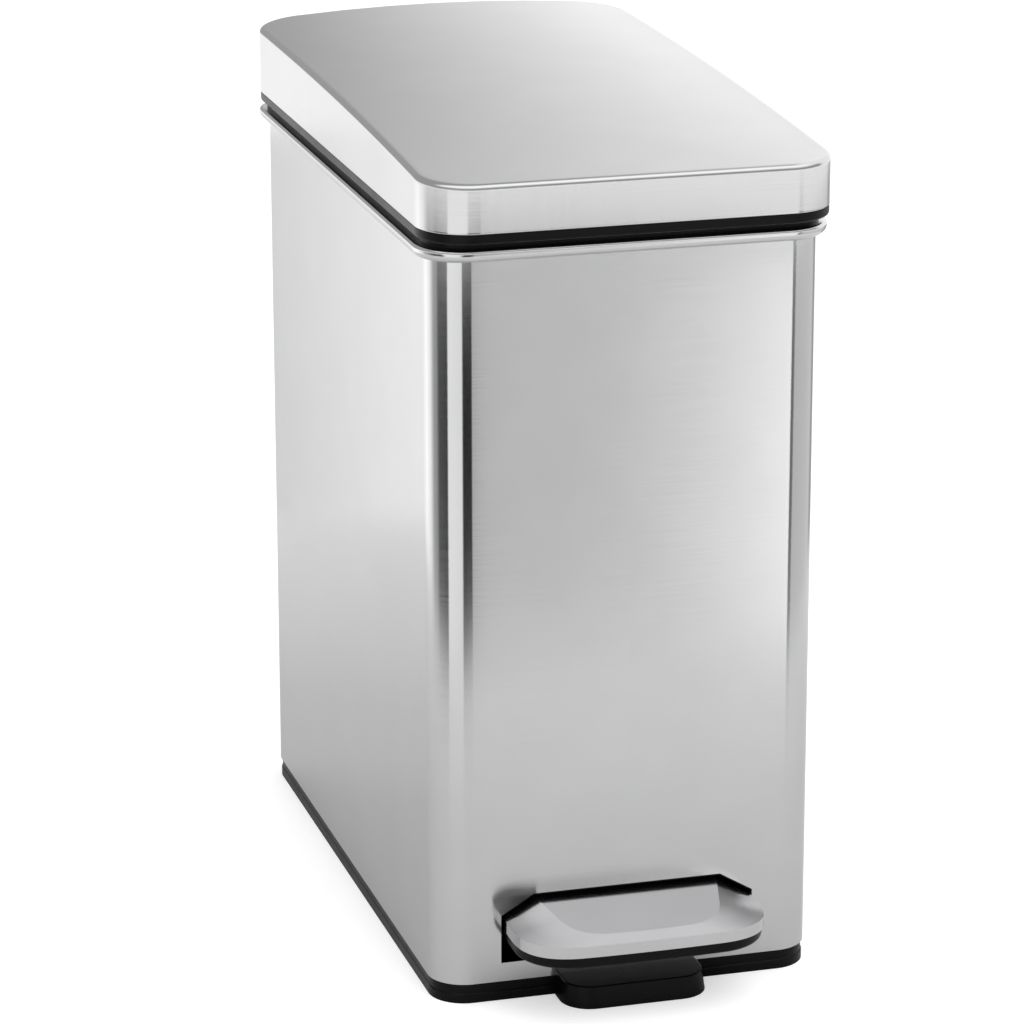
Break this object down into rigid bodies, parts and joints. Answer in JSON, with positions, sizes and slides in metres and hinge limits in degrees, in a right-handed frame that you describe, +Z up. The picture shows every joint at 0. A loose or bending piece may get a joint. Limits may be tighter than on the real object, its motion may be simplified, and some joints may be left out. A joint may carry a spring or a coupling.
{
  "type": "step trash can",
  "caption": "Slim rectangular kitchen step bin in brushed steel with a domed lid, black base and a front pedal that lifts the lid through a lever and rod.",
  "frame": {"origin": "centre of the footprint, pedal included, on the floor", "axes": "+Z up, front with the pedal towards -Y, +X to the right seen from the front"},
  "size_m": [0.1766, 0.3508, 0.3692],
  "materials": {
    "brushed_steel": "horizontal fine brushing",
    "bead_steel": "smooth satin, rolled",
    "black_plastic": "fine satin moulding",
    "grey_plastic": "smooth moulding",
    "bucket_plastic": "smooth moulding",
    "zinc_steel": "bright zinc plating",
    "wire_steel": "drawn wire",
    "pad_rubber": "soft matt"
  },
  "bodies": {
    "can": {"outer_shell": "brushed_steel", "rim_trim": "bead_steel", "collar": "black_plastic", "base_housing": "black_plastic", "base_deck": "black_plastic", "base_screws": "zinc_steel", "floor_pads": "pad_rubber", "pedal_axle": "zinc_steel", "axle_caps": "grey_plastic", "hinge_bracket": "zinc_steel", "bracket_screws": "zinc_steel", "hinge_pin": "zinc_steel", "damper_body": "grey_plastic", "damper_clip": "grey_plastic", "inner_bucket": "bucket_plastic", "bucket_handle": "wire_steel", "handle_grip": "black_plastic"},
    "lid": {"lid_shell": "brushed_steel", "lid_liner": "black_plastic", "lid_bumpers": "pad_rubber", "lid_arms": "zinc_steel", "crank_pin": "zinc_steel", "arm_screws": "zinc_steel"},
    "pedal": {"pedal_cover": "brushed_steel", "pedal_body": "black_plastic", "pedal_lever": "zinc_steel", "lever_bushes": "grey_plastic", "pedal_rivets": "zinc_steel", "lever_pin": "zinc_steel"},
    "lift": {"rod_foot": "grey_plastic", "lift_rod": "zinc_steel", "rod_head": "grey_plastic", "damper_piston": "grey_plastic"}
  },
  "joints": [
    {"name": "lid_hinge", "type": "hinge", "parent": "can", "child": "lid", "pos_m": [0, 0.1666, 0.342], "axis": [-1, 0, 0], "range_deg": [0, 80]},
    {"name": "pedal_press", "type": "hinge", "parent": "can", "child": "pedal", "pos_m": [0, -0.0564, 0.02], "axis": [1, 0, 0], "range_deg": [0, 6.5]},
    {"name": "rod_lift", "type": "slide", "parent": "can", "child": "lift", "axis": [0, 0, 1], "range_m": [0, 0.02366]}
  ],
  "couplings": [
    {"joint": "pedal_press", "follows": "lid_hinge", "ratio": 0.08125},
    {"joint": "rod_lift", "follows": "lid_hinge", "m_per_rad": 0.016944}
  ]
}
